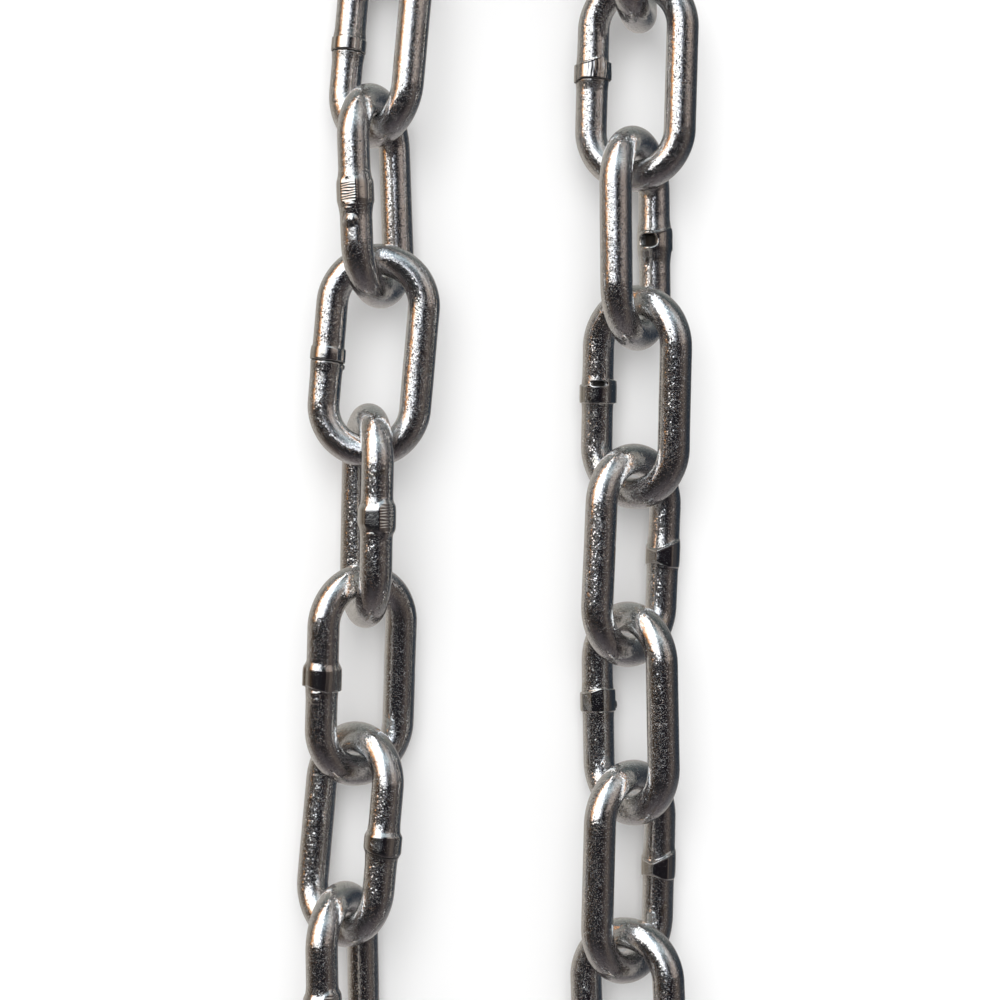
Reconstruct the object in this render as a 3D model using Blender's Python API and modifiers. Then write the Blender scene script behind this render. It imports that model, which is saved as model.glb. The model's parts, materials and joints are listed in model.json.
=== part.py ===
"""Load binder chain: a doubled run of welded round-wire links with a clevis grab hook on each end.

The chain lies on the ground in a narrow hairpin: one bight link at the far end (+Y), a left and a
right strand coming back from it towards -Y, and a grab hook, clevis pin and split cotter on each
strand's last link. The pieces hang from one another in a tree: an empty at each joint has its
local X along the hinge axis, and the piece that turns there is its child. Units are metres.
"""

from math import asin, cos, pi, radians, sin

import bmesh
import bpy
from mathutils import Matrix, Vector

# ---------------------------------------------------------------- driving dimensions
WIRE = 0.0079           # 5/16 in round wire, the chain's nominal 8 mm
PITCH = 0.0400          # inside length of a link
LINK_WIDTH = 0.0308     # outside width of a link
CLEARANCE = 0.0003      # between pieces that touch
SLACK = {"left": 0.0004, "right": 0.0007}   # between two links' wires at their contact

WELD_LENGTH = 0.0056    # upset collar of the butt weld, halfway along one leg
WELD_SCALE = 1.20       # collar diameter over wire diameter

PIN_DIAMETER = 0.0095   # clevis pin
PIN_HEAD = (0.0140, 0.0030)      # diameter, thickness
PIN_TAIL = 0.0065       # length past the ear
PIN_CHAMFER = 0.0007
COTTER_WIRE = 0.0013
COTTER_HOLE = 0.0034
COTTER_INSET = 0.0012   # from the clevis to the edge of its hole
COTTER_EYE = 0.0021     # radius of the eye's centre line
COTTER_REACH = 0.0050   # length of a leg below the pin
COTTER_SPREAD = 38      # degrees that each leg is bent out

HOOK_THICKNESS = 0.0150  # of the claw
THROAT = 0.0104          # width of the slot that grabs a link
THROAT_DEPTH = 0.0240    # length of its parallel jaws
THROAT_LEAN = 14         # degrees that the slot leans off the load line
BOWL_DEPTH = 0.0620      # from pin axis to the centre of the slot's round end
BOWL_RADIUS = 0.0200     # outside of the hook round that centre
TIP_WIDTH = 0.0110
JAW_FILLET = 0.0030      # where the back jaw turns into the shank
CLAW_EDGE = 0.0022       # rounding of the claw's edges
CLEVIS_WIDTH = 0.0290    # outside, across the two ears
CLEVIS_LENGTH = 0.0230   # from pin axis to the claw
CLEVIS_EDGE = 0.0012
FORK_GAP = 0.0134        # between the ears
FORK_DEPTH = 0.0164      # from pin axis to the bottom of the fork
EAR_RADIUS = 0.0095

# How each link lies, going away from the bight:
# heading  degrees from -Y, clockwise seen from above
# roll     degrees from the ground to the link's plane, right leg up
# weld     1 on the right leg, -1 on the left leg
# swing    1 where a positive angle of its hinge lifts the chain beyond it, -1 where it lowers it
BIGHT_LINK = {"heading": -79.5, "tilt": 4.5, "roll": -7, "height": 0.0155}
STRANDS = {
    "left": (
        (27.5, -60, 1, 1), (5, 44, -1, 1), (-2, -67, -1, 1), (5, 5, -1, 1), (1, 74, 1, 1),
        (2, -37, -1, -1), (5, 41, 1, -1), (-1, -68, -1, 1), (0, 16, -1, 1), (1, -82, 1, -1),
    ),
    "right": (
        (-11.5, -76.5, 1, 1), (1.5, 20, -1, 1), (-0.5, -62, 1, -1), (1, 37, -1, -1),
        (2.5, -43, 1, 1), (-1, 49, -1, -1), (1.5, -46, 1, 1), (-2, 30, -1, 1),
        (0, -76, 1, -1),
    ),
}
HOOK_SWING = -1         # the same, for both hooks on their pins
FLOOR_MARGIN = 0.0003

# ---------------------------------------------------------------- mesh detail
WIRE_SIDES = 10
BOW_STEPS = 8           # rings round each half-circle bow
OUTLINE_STEP = 12       # degrees of arc between outline points

# ---------------------------------------------------------------- derived
BOW_RADIUS = (LINK_WIDTH - WIRE) / 2
CROWN_SPAN = PITCH + WIRE               # between the wire centres of a link's two crowns
DOWN = Vector((0, 0, -1))
UP = Vector((0, 0, 1))


# ---------------------------------------------------------------- scene helpers
def clear_scene():
    for obj in list(bpy.data.objects):
        bpy.data.objects.remove(obj, do_unlink=True)


def new_collection(name):
    collection = bpy.data.collections.new(name)
    bpy.context.scene.collection.children.link(collection)
    return collection


def metal(name, colour, roughness):
    material = bpy.data.materials.new(name)
    material.use_nodes = True
    shader = material.node_tree.nodes["Principled BSDF"]
    shader.inputs["Base Color"].default_value = (*colour, 1)
    shader.inputs["Metallic"].default_value = 1.0
    shader.inputs["Roughness"].default_value = roughness
    return material


def mesh_from_curve(curve_data, name):
    """The curve as a welded, closed mesh. The curve itself is removed."""
    guide = bpy.data.objects.new(name + "_curve", curve_data)
    bpy.context.scene.collection.objects.link(guide)
    graph = bpy.context.evaluated_depsgraph_get()
    mesh = bpy.data.meshes.new_from_object(guide.evaluated_get(graph))
    bpy.data.objects.remove(guide)
    bpy.data.curves.remove(curve_data)
    mesh.name = name
    shape = bmesh.new()
    shape.from_mesh(mesh)
    bmesh.ops.remove_doubles(shape, verts=shape.verts, dist=1e-6)
    bmesh.ops.recalc_face_normals(shape, faces=shape.faces)
    shape.to_mesh(mesh)
    shape.free()
    return mesh


def add_piece(name, mesh, collection, material):
    mesh.materials.clear()
    mesh.materials.append(material)
    mesh.shade_smooth()
    mesh.set_sharp_from_angle(angle=radians(35))
    piece = bpy.data.objects.new(name, mesh)
    collection.objects.link(piece)
    return piece


def add_cutter(name, mesh, collection, owner):
    cutter = bpy.data.objects.new(name, mesh)
    cutter.hide_render = True
    cutter.display_type = "WIRE"
    cutter.parent = owner
    collection.objects.link(cutter)
    return cutter


def boolean(piece, other, operation):
    modifier = piece.modifiers.new(other.name, "BOOLEAN")
    modifier.object = other
    modifier.operation = operation
    modifier.solver = "EXACT"


def wire_curve(points, radii, diameter, sides, cyclic):
    """A round wire through the points, each with its own share of the diameter."""
    curve = bpy.data.curves.new("wire", "CURVE")
    curve.dimensions = "3D"
    curve.bevel_depth = diameter / 2
    curve.bevel_resolution = (sides - 4) // 2
    curve.use_fill_caps = not cyclic
    spline = curve.splines.new("POLY")
    spline.points.add(len(points) - 1)
    for point, place, radius in zip(spline.points, points, radii):
        point.co = (*place, 1)
        point.radius = radius
    spline.use_cyclic_u = cyclic
    return curve


def plate_curve(outline, thickness, edge):
    """A flat plate in the local XY plane, its edges rounded by the amount given."""
    curve = bpy.data.curves.new("plate", "CURVE")
    curve.dimensions = "2D"
    curve.fill_mode = "BOTH"
    curve.extrude = thickness / 2 - edge
    curve.bevel_depth = edge
    curve.bevel_resolution = 1
    curve.offset = -edge
    spline = curve.splines.new("POLY")
    spline.points.add(len(outline) - 1)
    for point, place in zip(spline.points, outline):
        point.co = (*place, 0, 1)
    spline.use_cyclic_u = True
    return curve


def arc(centre, radius, start, end):
    """Points along an arc, in degrees from +X towards +Y, both ends included."""
    steps = max(2, round(abs(end - start) / OUTLINE_STEP))
    angles = [radians(start + (end - start) * step / steps) for step in range(steps + 1)]
    return [(centre[0] + radius * cos(a), centre[1] + radius * sin(a)) for a in angles]


# ---------------------------------------------------------------- links
def link_mesh(name, weld_side):
    """One link in its local frame: it runs along +X from its start crown at the origin.

    Its legs lie at +Y and -Y, and weld_side says which of them holds the weld collar.
    """
    points, radii = [], []
    for centre_x, first in ((BOW_RADIUS, 90), (CROWN_SPAN - BOW_RADIUS, -90)):
        for step in range(BOW_STEPS + 1):
            angle = radians(first + 180 * step / BOW_STEPS)
            points.append((centre_x + BOW_RADIUS * cos(angle), BOW_RADIUS * sin(angle), 0))
            radii.append(1.0)
        leg_side = -1 if first == 90 else 1
        if leg_side != weld_side:
            continue
        along = -leg_side
        for offset, scale in ((-0.5, 1.0), (-0.3, WELD_SCALE), (0.3, WELD_SCALE), (0.5, 1.0)):
            place = CROWN_SPAN / 2 + along * offset * WELD_LENGTH
            points.append((place, leg_side * BOW_RADIUS, 0))
            radii.append(scale)
    curve = wire_curve(points, radii, WIRE, WIRE_SIDES, cyclic=True)
    return mesh_from_curve(curve, name)


def directions(heading, tilt, roll):
    """Unit vectors along a link, towards its right leg, and square to both."""
    level = Vector((-sin(heading), -cos(heading), 0))
    along = level * cos(tilt) + UP * sin(tilt)
    right = UP.cross(level)
    lateral = right * cos(roll) + along.cross(right) * sin(roll)
    return along, lateral, along.cross(lateral)


def frame_matrix(origin, axes):
    matrix = Matrix((*axes,)).transposed().to_4x4()
    matrix.translation = origin
    return matrix


def mated_start(end_crown, along, lateral, next_along, next_lateral, slack):
    """Where the next link's start crown sits: the two wires cross, a wire and the slack apart."""
    pull = lateral.cross(next_lateral).normalized()
    if pull.dot(along + next_along) < 0:
        pull.negate()
    return end_crown - pull * (WIRE + slack)


def lying_height(roll):
    """Height of a link's centre line when its lower leg rests on the ground."""
    return BOW_RADIUS * abs(sin(roll)) + WIRE / 2 + FLOOR_MARGIN


def lay_strand(side, end_crown, along, lateral):
    """Each link's (start crown, axes), chained from the bight. A link's far end comes to the
    height at which both it and the next link clear the ground."""
    laid = []
    lie = [(radians(link[0]), radians(link[1])) for link in STRANDS[side]]
    for index, (heading, roll) in enumerate(lie):
        next_roll = lie[min(index + 1, len(lie) - 1)][1]
        target = max(lying_height(roll), lying_height(next_roll))
        tilt = 0.0
        for _ in range(6):
            axes = directions(heading, tilt, roll)
            start = mated_start(end_crown, along, lateral, axes[0], axes[1], SLACK[side])
            tilt = asin((target - start.z) / CROWN_SPAN)
        laid.append((start, axes))
        along, lateral = axes[0], axes[1]
        end_crown = start + along * CROWN_SPAN
    return laid


# ---------------------------------------------------------------- hook, pin and cotter
def claw_outline():
    """Outline of the grab hook's claw. The pin axis is X through the origin, the load pulls
    along +Y, and the throat opens back towards the clevis at -Y."""
    lean = radians(THROAT_LEAN)
    out = Vector((cos(lean), sin(lean)))
    back = Vector((sin(lean), -cos(lean)))
    bowl = Vector((0, BOWL_DEPTH))
    half = THROAT / 2
    facing = THROAT_LEAN
    shank_x, shank_y = CLEVIS_WIDTH / 2 - 0.0006, 0.0120
    spine = [
        (-shank_x, shank_y),
        (-shank_x - 0.0012, 0.0260),
        (-BOWL_RADIUS * 0.93, 0.0430),
    ]
    crown = arc(bowl, BOWL_RADIUS, 190, 90) + arc(bowl, BOWL_RADIUS, 78, facing - 6)
    tip = bowl + out * (half + TIP_WIDTH / 2) + back * THROAT_DEPTH
    point = arc(tip, TIP_WIDTH / 2, facing, facing - 180)
    throat = arc(bowl, half, facing, facing + 180)
    jaw_end = bowl - out * half + back * THROAT_DEPTH
    heel = [tuple(jaw_end - back * 0.0008)]
    heel += arc(jaw_end - out * JAW_FILLET, JAW_FILLET, facing, facing - 50)
    belly = [(0.0080, 0.0290), (shank_x, 0.0185), (shank_x, shank_y)]
    return spine + crown + point + throat + heel + belly


def ear_outline():
    """Side outline of the clevis: X is the load direction and Y the hook's thickness."""
    neck = HOOK_THICKNESS / 2 + 0.0004
    taper = CLEVIS_LENGTH - 0.0100
    outline = arc((0, 0), EAR_RADIUS, 90, 270)
    outline += [(taper, -EAR_RADIUS), (CLEVIS_LENGTH, -neck)]
    outline += [(CLEVIS_LENGTH, neck), (taper, EAR_RADIUS)]
    return outline


def box_mesh(name, low, high):
    shape = bmesh.new()
    bmesh.ops.create_cube(shape, size=1)
    low, high = Vector(low), Vector(high)
    for vert in shape.verts:
        vert.co = Vector(
            (low[i] + (vert.co[i] + 0.5) * (high[i] - low[i]) for i in range(3))
        )
    mesh = bpy.data.meshes.new(name)
    shape.to_mesh(mesh)
    shape.free()
    return mesh


def rod_mesh(name, diameter, length, sides, axis):
    """A plain rod centred on the origin, along local X or Z."""
    shape = bmesh.new()
    bmesh.ops.create_cone(
        shape, cap_ends=True, segments=sides, radius1=diameter / 2, radius2=diameter / 2,
        depth=length,
    )
    if axis == "X":
        bmesh.ops.rotate(shape, verts=shape.verts, matrix=Matrix.Rotation(pi / 2, 3, "Y"))
    mesh = bpy.data.meshes.new(name)
    shape.to_mesh(mesh)
    shape.free()
    return mesh


def add_hook(side, parts, cutters, material):
    """The forged body in its own frame: pin axis on X, load along +Y, lying flat in XY."""
    claw = mesh_from_curve(plate_curve(claw_outline(), HOOK_THICKNESS, CLAW_EDGE), "claw")
    hook = add_piece(side + "_grab_hook", claw, parts, material)
    ears = mesh_from_curve(plate_curve(ear_outline(), CLEVIS_WIDTH, CLEVIS_EDGE), "clevis")
    ears.transform(Matrix(((0, 0, 1, 0), (1, 0, 0, 0), (0, 1, 0, 0), (0, 0, 0, 1))))
    boolean(hook, add_cutter(side + "_clevis", ears, cutters, hook), "UNION")
    reach = EAR_RADIUS * 2
    gap = box_mesh("fork", (-FORK_GAP / 2, -reach, -reach), (FORK_GAP / 2, FORK_DEPTH, reach))
    boolean(hook, add_cutter(side + "_fork_cut", gap, cutters, hook), "DIFFERENCE")
    bore = rod_mesh("bore", PIN_DIAMETER + 2 * CLEARANCE, 2 * CLEVIS_WIDTH, 20, "X")
    boolean(hook, add_cutter(side + "_pin_bore", bore, cutters, hook), "DIFFERENCE")
    return hook


def pin_profile():
    """Half section of the clevis pin as (x along the pin, radius), head first."""
    head_diameter, head_thickness = PIN_HEAD
    seat = -CLEVIS_WIDTH / 2 - CLEARANCE
    end = CLEVIS_WIDTH / 2 + PIN_TAIL
    radius, head = PIN_DIAMETER / 2, head_diameter / 2
    return [
        (seat - head_thickness, 0),
        (seat - head_thickness, head - PIN_CHAMFER),
        (seat - head_thickness + PIN_CHAMFER, head),
        (seat, head),
        (seat, radius),
        (end - PIN_CHAMFER, radius),
        (end, radius - PIN_CHAMFER),
        (end, 0),
    ]


def add_pin(side, parts, cutters, material):
    """A turned pin along local X, with a cross hole near its tail for the cotter."""
    mesh = bpy.data.meshes.new(side + "_clevis_pin")
    profile = pin_profile()
    mesh.from_pydata(
        [(x, 0, radius) for x, radius in profile],
        [(i, i + 1) for i in range(len(profile) - 1)],
        [],
    )
    pin = bpy.data.objects.new(side + "_clevis_pin", mesh)
    mesh.materials.append(material)
    parts.objects.link(pin)
    turn = pin.modifiers.new("turn", "SCREW")
    turn.axis = "X"
    turn.steps = turn.render_steps = 20
    turn.use_merge_vertices = True
    turn.merge_threshold = 0.00001
    turn.use_normal_calculate = True
    hole = rod_mesh("cross_hole", COTTER_HOLE, 2 * PIN_DIAMETER, 10, "Z")
    cutter = add_cutter(side + "_cross_hole", hole, cutters, pin)
    cutter.location.x = cotter_place()
    boolean(pin, cutter, "DIFFERENCE")
    return pin


def cotter_place():
    """How far along the pin the cotter's hole is."""
    return CLEVIS_WIDTH / 2 + CLEARANCE + COTTER_INSET + COTTER_HOLE / 2


def cotter_points():
    """Centre line of the split cotter, square to the pin: eye on top, legs spread below."""
    half = COTTER_WIRE / 2 + 0.0001
    bend = PIN_DIAMETER / 2 + 0.0006
    spread = radians(COTTER_SPREAD)
    eye_height = bend + COTTER_EYE + 0.0008
    gap = asin(half / COTTER_EYE)
    loop = [-pi / 2 + gap + (2 * pi - 2 * gap) * step / 12 for step in range(13)]
    right_leg = [
        (half + COTTER_REACH * sin(spread), -bend - COTTER_REACH * cos(spread)),
        (half, -bend),
        (half, bend - 0.0002),
    ]
    left_leg = [(-x, z) for x, z in reversed(right_leg)]
    ring = [(COTTER_EYE * cos(a), eye_height + COTTER_EYE * sin(a)) for a in loop]
    return [(0, y, z) for y, z in right_leg + ring + left_leg]


def add_cotter(side, parts, material):
    points = cotter_points()
    curve = wire_curve(points, [1.0] * len(points), COTTER_WIRE, 8, cyclic=False)
    return add_piece(side + "_cotter", mesh_from_curve(curve, "cotter"), parts, material)


# ---------------------------------------------------------------- assembly
def add_joint(name, parent, place, axis, collection):
    """An empty at the hinge: its local X is the hinge axis, in world space at rest."""
    joint = bpy.data.objects.new(name, None)
    joint.empty_display_size = WIRE
    collection.objects.link(joint)
    across = axis.orthogonal().normalized()
    joint.parent = parent
    joint.matrix_world = frame_matrix(place, (axis, across, axis.cross(across)))
    bpy.context.view_layer.update()
    return joint


def attach(piece, parent, world):
    piece.parent = parent
    piece.matrix_world = world
    bpy.context.view_layer.update()


def swing_axis(axis, along, sense):
    """The hinge axis, turned so that a positive angle lifts (1) or lowers (-1) what it carries."""
    return axis if axis.cross(along).z * sense > 0 else -axis


def link_hinge(side, index, before, after):
    """(pivot, axis) of the contact between two links: one rolls round the other's crown wire.

    The strand's first link turns on its own upright wire, so that the hairpin opens. Further
    on the hinge is whichever crown wire lies flatter.
    """
    end_crown, along, lateral = before
    start, axes = after
    if index == 0:
        outward = -1 if side == "left" else 1
        axis = axes[1]
        return start, axis if axis.cross(axes[0]).x * outward > 0 else -axis
    sense = STRANDS[side][index][3]
    if abs(axes[1].z) <= abs(lateral.z):
        return start, swing_axis(axes[1], axes[0], sense)
    return end_crown, swing_axis(lateral, axes[0], sense)


def build_strand(side, bight, parts, cutters, finishes):
    """All links of one strand, its hook, pin and cotter, each hung from the one before."""
    origin, axes = bight["start"], bight["axes"]
    if side == "left":
        end_crown, along = origin, -axes[0]
    else:
        end_crown, along = origin + axes[0] * CROWN_SPAN, axes[0]
    lateral, parent = axes[1], bight["piece"]
    for index, (start, axes) in enumerate(lay_strand(side, end_crown, along, lateral)):
        name = f"{side}_link_{index}"
        place, hinge = link_hinge(side, index, (end_crown, along, lateral), (start, axes))
        joint = add_joint(f"hinge_{name}", parent, place, hinge, parts)
        mesh = link_mesh(name, STRANDS[side][index][2])
        parent = add_piece(name, mesh, parts, finishes["zinc"])
        attach(parent, joint, frame_matrix(start, axes))
        along, lateral = axes[0], axes[1]
        end_crown = start + along * CROWN_SPAN
    add_end_fitting(side, end_crown, along, parent, parts, cutters, finishes)


def add_end_fitting(side, end_crown, along, last_link, parts, cutters, finishes):
    """Hook, pin and cotter on the last link. The hook's pin lies level and its claw rests on
    the ground."""
    pin_place = end_crown - along * (WIRE / 2 + CLEARANCE + PIN_DIAMETER / 2)
    level = Vector((along.x, along.y, 0)).normalized()
    fall = asin((pin_place.z - HOOK_THICKNESS / 2 - FLOOR_MARGIN) / (BOWL_DEPTH + BOWL_RADIUS))
    load = level * cos(fall) + DOWN * sin(fall)
    pin_axis = load.cross(UP).normalized()
    world = frame_matrix(pin_place, (pin_axis, load, pin_axis.cross(load)))
    hinge = swing_axis(pin_axis, load, HOOK_SWING)
    swing = add_joint(f"hinge_{side}_hook", last_link, pin_place, hinge, parts)
    hook = add_hook(side, parts, cutters, finishes["forged"])
    attach(hook, swing, world)
    turn = add_joint(f"hinge_{side}_pin", hook, pin_place, pin_axis, parts)
    pin = add_pin(side, parts, cutters, finishes["steel"])
    attach(pin, turn, world)
    cotter = add_cotter(side, parts, finishes["steel"])
    attach(cotter, pin, world @ Matrix.Translation((cotter_place(), 0, 0)))


def stand_on_origin(root, parts):
    """Move the whole chain so that its box stands on the origin."""
    graph = bpy.context.evaluated_depsgraph_get()
    corners = []
    for piece in parts.objects:
        if piece.type != "MESH":
            continue
        shape = piece.evaluated_get(graph)
        mesh = shape.to_mesh()
        corners += [shape.matrix_world @ vert.co for vert in mesh.vertices]
        shape.to_mesh_clear()
    low = Vector(map(min, zip(*corners)))
    high = Vector(map(max, zip(*corners)))
    root.location -= Vector(((low.x + high.x) / 2, (low.y + high.y) / 2, low.z))
    bpy.context.view_layer.update()


def main():
    clear_scene()
    parts = new_collection("load_binder_chain")
    cutters = new_collection("cutters")
    finishes = {
        "zinc": metal("bright_zinc", (0.60, 0.60, 0.61), 0.28),
        "forged": metal("forged_zinc", (0.52, 0.52, 0.54), 0.38),
        "steel": metal("pin_steel", (0.64, 0.64, 0.65), 0.24),
    }
    axes = directions(
        radians(BIGHT_LINK["heading"]), radians(BIGHT_LINK["tilt"]), radians(BIGHT_LINK["roll"])
    )
    start = UP * BIGHT_LINK["height"] - axes[0] * (CROWN_SPAN / 2)
    bight = add_piece("bight_link", link_mesh("bight_link", -1), parts, finishes["zinc"])
    attach(bight, None, frame_matrix(start, axes))
    for side in STRANDS:
        build_strand(
            side, {"piece": bight, "start": start, "axes": axes}, parts, cutters, finishes
        )
    stand_on_origin(bight, parts)


main()
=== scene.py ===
"""Looks of the load binder chain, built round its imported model.

Every link, hook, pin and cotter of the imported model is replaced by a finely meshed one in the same
place: drawn wire with its butt weld, forged hooks, turned pins and half-round cotters, all in zinc
plate. A pale floor, a painted studio and a camera straight above complete the scene.
Lengths are in metres unless a name or comment says millimetres.
"""

import json
from math import asin, cos, pi, radians, sin, tau

import bmesh
import bpy
import numpy as np
from mathutils import Matrix, Vector


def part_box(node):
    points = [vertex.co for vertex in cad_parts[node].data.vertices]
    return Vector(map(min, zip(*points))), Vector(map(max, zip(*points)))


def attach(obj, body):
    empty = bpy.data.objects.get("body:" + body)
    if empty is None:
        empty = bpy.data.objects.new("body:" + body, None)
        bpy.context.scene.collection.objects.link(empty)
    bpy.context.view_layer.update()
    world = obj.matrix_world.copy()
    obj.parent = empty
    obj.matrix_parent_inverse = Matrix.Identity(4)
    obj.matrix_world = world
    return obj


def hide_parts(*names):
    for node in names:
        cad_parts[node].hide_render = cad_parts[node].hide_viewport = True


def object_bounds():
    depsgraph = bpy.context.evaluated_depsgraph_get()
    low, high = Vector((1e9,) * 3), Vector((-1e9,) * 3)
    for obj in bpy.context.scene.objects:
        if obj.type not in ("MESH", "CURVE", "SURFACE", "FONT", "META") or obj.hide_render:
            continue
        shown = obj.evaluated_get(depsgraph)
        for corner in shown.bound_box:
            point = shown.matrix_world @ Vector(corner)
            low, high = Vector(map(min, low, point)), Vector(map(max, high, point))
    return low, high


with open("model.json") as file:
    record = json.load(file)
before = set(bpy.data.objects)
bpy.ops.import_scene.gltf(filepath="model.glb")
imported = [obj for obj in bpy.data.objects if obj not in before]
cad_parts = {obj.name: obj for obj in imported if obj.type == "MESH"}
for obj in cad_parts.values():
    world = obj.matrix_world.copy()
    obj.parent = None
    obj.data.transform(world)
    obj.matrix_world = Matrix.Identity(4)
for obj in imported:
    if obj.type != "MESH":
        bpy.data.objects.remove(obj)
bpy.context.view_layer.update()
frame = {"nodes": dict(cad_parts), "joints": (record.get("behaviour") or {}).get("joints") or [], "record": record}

MM = 0.001

# ---------------------------------------------------------------- sizes, as in the model
WIRE = 7.9 * MM
PITCH = 40.0 * MM
LINK_WIDTH = 30.8 * MM
BOW_RADIUS = (LINK_WIDTH - WIRE) / 2
HALF_LEG = (PITCH + WIRE) / 2 - BOW_RADIUS      # from the link's centre to the start of a bow
WIRE_LENGTH = 4 * HALF_LEG + tau * BOW_RADIUS   # round a link's centre line

CLEVIS_WIDTH = 29.0 * MM
THROAT = 10.4 * MM
BOWL_DEPTH = 62.0 * MM
BOWL_RADIUS = 20.0 * MM
HOOK_THICKNESS = 15.0 * MM

PIN_DIAMETER = 9.5 * MM
PIN_HEAD_DIAMETER = 14.0 * MM
PIN_HEAD_THICKNESS = 3.0 * MM
PIN_TAIL = 6.5 * MM
COTTER_HOLE = 3.4 * MM
COTTER_SECTION = 1.32 * MM                      # radius of the half-round wire
CLEARANCE = 0.3 * MM

# ---------------------------------------------------------------- finish, guessed
WIRE_UNEVENNESS = 0.045 * MM
BOW_FLAT = 0.12 * MM                            # what the bending die takes off a bow's outside
FORGING_UNEVENNESS = 0.06 * MM
PARTING_LINE = 0.28 * MM                        # height of the forging's flash
CLAW_GROOVE = 0.8 * MM                          # depth
PEEL = 0.015 * MM                               # heights of the plate's fine relief
DRAWN_LINES = 0.010 * MM
SCRATCHES = 0.03 * MM

# ---------------------------------------------------------------- mesh detail
WIRE_SIDES = 80
FINE_STEP = 0.12 * MM       # between rings at the weld
COARSE_STEP = 0.9 * MM      # between rings elsewhere
FINE_REACH = 6.5 * MM       # from the weld's middle
FORGING_VOXEL = 0.45 * MM
SEED_SPACING = 37.0         # millimetres between two pieces' places in the materials' noise

# ---------------------------------------------------------------- light and camera
DOME = 0.90                 # brightness of the white dome over the floor
OVERHEAD_POWER = 11.0       # watts
OVERHEAD_SIZE = 1.3
OVERHEAD_PLACE = Vector((-0.12, 0.60, 1.4))
WINDOW_STRENGTH = 1.8
REFLECTOR_STRENGTH = 0.9
FLOOR_SIZE = 60
CAMERA_HEIGHT = 0.560
LENS = 79.2                 # millimetres, on a sensor 36 mm wide
# from the middle of the fourth links of the two strands to the point below the camera
CAMERA_SHIFT = Vector((-0.1, 8.8, 0)) * MM


# ---------------------------------------------------------------- small helpers
def smoothstep(low, high, value):
    """0 below low, 1 above high, and a smooth rise between them."""
    share = np.clip((value - low) / (high - low), 0, 1)
    return share * share * (3 - 2 * share)


def window(low, high, value, edge):
    """1 between low and high, falling to 0 over the edge width on both sides."""
    return smoothstep(low - edge / 2, low + edge / 2, value) * (
        1 - smoothstep(high - edge / 2, high + edge / 2, value)
    )


def uneven(first, second, seed, size):
    """Smooth, seeded unevenness of about the given size over two coordinates in radians."""
    chance = np.random.RandomState(seed)
    total = 0
    for order in range(1, 7):
        phase = chance.uniform(0, tau, 2)
        turns = chance.randint(0, 4)
        pace = order * chance.uniform(0.7, 1.3)
        total = total + np.sin(first * pace + phase[0]) * np.cos(second * turns + phase[1]) / order
    return total * size / 2


def store(mesh, name, values):
    """Keep one vector or number for each vertex, for the materials to read."""
    kind, key = ("FLOAT_VECTOR", "vector") if values.ndim == 2 else ("FLOAT", "value")
    attribute = mesh.attributes.new(name, kind, "POINT")
    attribute.data.foreach_set(key, values.astype(np.float32).ravel())


def vertex_array(mesh, key="co"):
    """Every vertex's place, or its normal."""
    flat = np.empty(len(mesh.vertices) * 3, np.float32)
    mesh.vertices.foreach_get(key, flat)
    return flat.reshape(-1, 3).astype(float)


def grid_mesh(name, rings, closed):
    """A mesh over rings of points (rings x sides x 3): closed in a loop, or capped at its ends."""
    count, sides = rings.shape[:2]
    here = np.arange(count if closed else count - 1)[:, None] * sides
    there = (here + sides) % (count * sides)
    side = np.arange(sides)[None, :]
    beside = (side + 1) % sides
    faces = np.stack([here + side, here + beside, there + beside, there + side], axis=-1)
    faces = faces.reshape(-1, 4).tolist()
    if not closed:
        faces.append(list(range(sides))[::-1])
        faces.append(list(range((count - 1) * sides, count * sides)))
    mesh = bpy.data.meshes.new(name)
    mesh.from_pydata(rings.reshape(-1, 3).tolist(), [], faces)
    shape = bmesh.new()
    shape.from_mesh(mesh)
    bmesh.ops.recalc_face_normals(shape, faces=shape.faces)
    shape.to_mesh(mesh)
    shape.free()
    return mesh


def add_piece(name, mesh, place, body, node, material):
    """Put a finished mesh in its place: it rides on its body and stands for its node."""
    mesh.transform(place)
    mesh.materials.clear()
    mesh.materials.append(material)
    mesh.shade_smooth()
    piece = bpy.data.objects.new(name, mesh)
    bpy.context.scene.collection.objects.link(piece)
    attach(piece, body)
    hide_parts(node)
    return piece


def frame_matrix(origin, axes):
    matrix = Matrix((*axes,)).transposed().to_4x4()
    matrix.translation = origin
    return matrix


# ---------------------------------------------------------------- material nodes
def add_node(tree, kind, inputs=None, **settings):
    """A node with its settings, and with each named input set or linked."""
    node = tree.nodes.new(kind)
    for key, value in settings.items():
        setattr(node, key, value)
    for key, value in (inputs or {}).items():
        if isinstance(value, bpy.types.NodeSocket):
            tree.links.new(value, node.inputs[key])
        else:
            node.inputs[key].default_value = value
    return node


def maths(tree, operation, first, second=0.0, third=0.0):
    node = add_node(tree, "ShaderNodeMath", {0: first, 1: second, 2: third}, operation=operation)
    return node.outputs[0]


def ramp(tree, value, stops):
    """Colours over a value from 0 to 1. Each stop is (position, colour)."""
    node = add_node(tree, "ShaderNodeValToRGB", {"Fac": value})
    elements = node.color_ramp.elements
    elements[0].position, elements[-1].position = stops[0][0], stops[-1][0]
    for position, _ in stops[1:-1]:
        elements.new(position)
    for element, (_, colour) in zip(elements, stops):
        element.color = (*colour, 1)
    return node.outputs["Color"]


def mix(tree, share, first, second, blend="MIX"):
    node = add_node(tree, "ShaderNodeMix", data_type="RGBA", blend_type=blend)
    for key, value in ((0, share), (6, first), (7, second)):
        if isinstance(value, bpy.types.NodeSocket):
            tree.links.new(value, node.inputs[key])
        else:
            node.inputs[key].default_value = (*value, 1) if key else value
    return node.outputs[2]


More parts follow.
